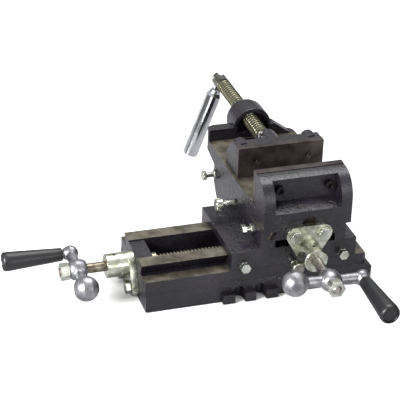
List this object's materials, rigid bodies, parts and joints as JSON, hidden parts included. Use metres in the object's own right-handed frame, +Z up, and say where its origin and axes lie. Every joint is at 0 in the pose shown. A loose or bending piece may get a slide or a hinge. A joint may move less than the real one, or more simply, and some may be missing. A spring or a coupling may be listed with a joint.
{
  "type": "cross slide drill press vise",
  "caption": "Compound cross-slide vise: dovetail base with saddle, two crank feed screws, sliding vise body, clamping jaw on a threaded spindle with a folding bar handle.",
  "frame": {"origin": "centre of the pattern of mounting slots, on the underside of the base", "axes": "+X along the base ways away from the X crank, +Y from the fixed jaw to the spindle handle, +Z up"},
  "size_m": [0.3939, 0.4633, 0.1365],
  "materials": {
    "enamel": "black gloss enamel over rough cast iron, machined faces bare",
    "jaw_steel": "hardened steel, blackened, ground edges",
    "zinc": "bright zinc plate on turned steel",
    "steel": "turned and milled bright steel",
    "thread": "yellowish zinc plate on a rolled thread",
    "bronze": "cast and turned bronze",
    "aluminium": "satin cast aluminium, turned faces",
    "chrome": "polished chrome plate",
    "plastic": "satin black moulded plastic"
  },
  "bodies": {
    "base": {"base_casting": "enamel", "x_screw_bracket": "zinc", "x_bracket_bolt_front": "zinc", "x_bracket_bolt_rear": "zinc"},
    "saddle": {"saddle_casting": "enamel", "x_gib_strip": "steel", "y_gib_strip": "steel", "x_gib_screw_left": "zinc", "x_gib_screw_left_nut": "zinc", "x_gib_screw_right": "zinc", "x_gib_screw_right_nut": "zinc", "x_lock_screw": "zinc", "y_gib_screw_front": "zinc", "y_gib_screw_front_nut": "zinc", "y_gib_screw_rear": "zinc", "y_gib_screw_rear_nut": "zinc", "y_lock_screw": "zinc", "x_feed_nut": "bronze", "x_nut_screw": "zinc", "y_feed_nut": "bronze", "y_nut_screw_left": "zinc", "y_nut_screw_right": "zinc"},
    "x_screw": {"x_feed_screw": "steel", "x_feed_collar": "steel", "x_crank_arm": "aluminium", "x_crank_nut": "zinc", "x_grip_pin": "zinc"},
    "x_grip": {"x_crank_grip": "plastic"},
    "vise_body": {"vise_body": "enamel", "fixed_jaw_plate": "jaw_steel", "fixed_plate_screw_left": "jaw_steel", "fixed_plate_screw_right": "jaw_steel", "y_screw_bracket": "zinc", "y_bracket_bolt_left": "zinc", "y_bracket_bolt_right": "zinc"},
    "y_screw": {"y_feed_screw": "steel", "y_feed_collar": "steel", "y_crank_arm": "aluminium", "y_crank_nut": "zinc", "y_grip_pin": "zinc"},
    "y_grip": {"y_crank_grip": "plastic"},
    "movable_jaw": {"movable_jaw": "enamel", "movable_jaw_plate": "jaw_steel", "movable_plate_screw_left": "jaw_steel", "movable_plate_screw_right": "jaw_steel", "jaw_keeper_plate": "steel", "keeper_screw_front": "zinc", "keeper_screw_rear": "zinc", "spindle_retaining_pin": "zinc"},
    "spindle": {"jaw_spindle": "thread", "handle_rivet_pin": "zinc"},
    "handle": {"spindle_handle": "chrome"}
  },
  "joints": [
    {"name": "saddle_slide", "type": "slide", "parent": "base", "child": "saddle", "axis": [1, 0, 0], "range_m": [-0.085, 0.02]},
    {"name": "x_screw_spin", "type": "hinge", "parent": "base", "child": "x_screw", "pos_m": [-0.116, 0, 0.0315], "axis": [1, 0, 0], "range_deg": [-1850, 7700]},
    {"name": "x_grip_spin", "type": "hinge", "parent": "x_screw", "child": "x_grip", "pos_m": [-0.177, 0.036, 0.0315], "axis": [1, 0, 0], "continuous": true},
    {"name": "body_slide", "type": "slide", "parent": "saddle", "child": "vise_body", "axis": [0, 1, 0], "range_m": [-0.082, 0]},
    {"name": "y_screw_spin", "type": "hinge", "parent": "vise_body", "child": "y_screw", "pos_m": [0.062, -0.055, 0.0555], "axis": [0, 1, 0], "range_deg": [-7430, 50]},
    {"name": "y_grip_spin", "type": "hinge", "parent": "y_screw", "child": "y_grip", "pos_m": [0.09794, -0.125, 0.05337], "axis": [0, 1, 0], "continuous": true},
    {"name": "jaw_slide", "type": "slide", "parent": "vise_body", "child": "movable_jaw", "axis": [0, 1, 0], "range_m": [-0.0495, 0.041]},
    {"name": "spindle_spin", "type": "hinge", "parent": "movable_jaw", "child": "spindle", "pos_m": [0.062, 0.254, 0.117], "axis": [0, 1, 0], "range_deg": [-3600, 3000]},
    {"name": "handle_fold", "type": "hinge", "parent": "spindle", "child": "handle", "pos_m": [0.062, 0.254, 0.117], "axis": [0.9379, 0, -0.3469], "range_deg": [0, 180]}
  ],
  "couplings": [
    {"joint": "x_screw_spin", "follows": "saddle_slide", "rad_per_m": -1570.8},
    {"joint": "y_screw_spin", "follows": "body_slide", "rad_per_m": 1570.8},
    {"joint": "spindle_spin", "follows": "jaw_slide", "rad_per_m": 1256.6}
  ]
}
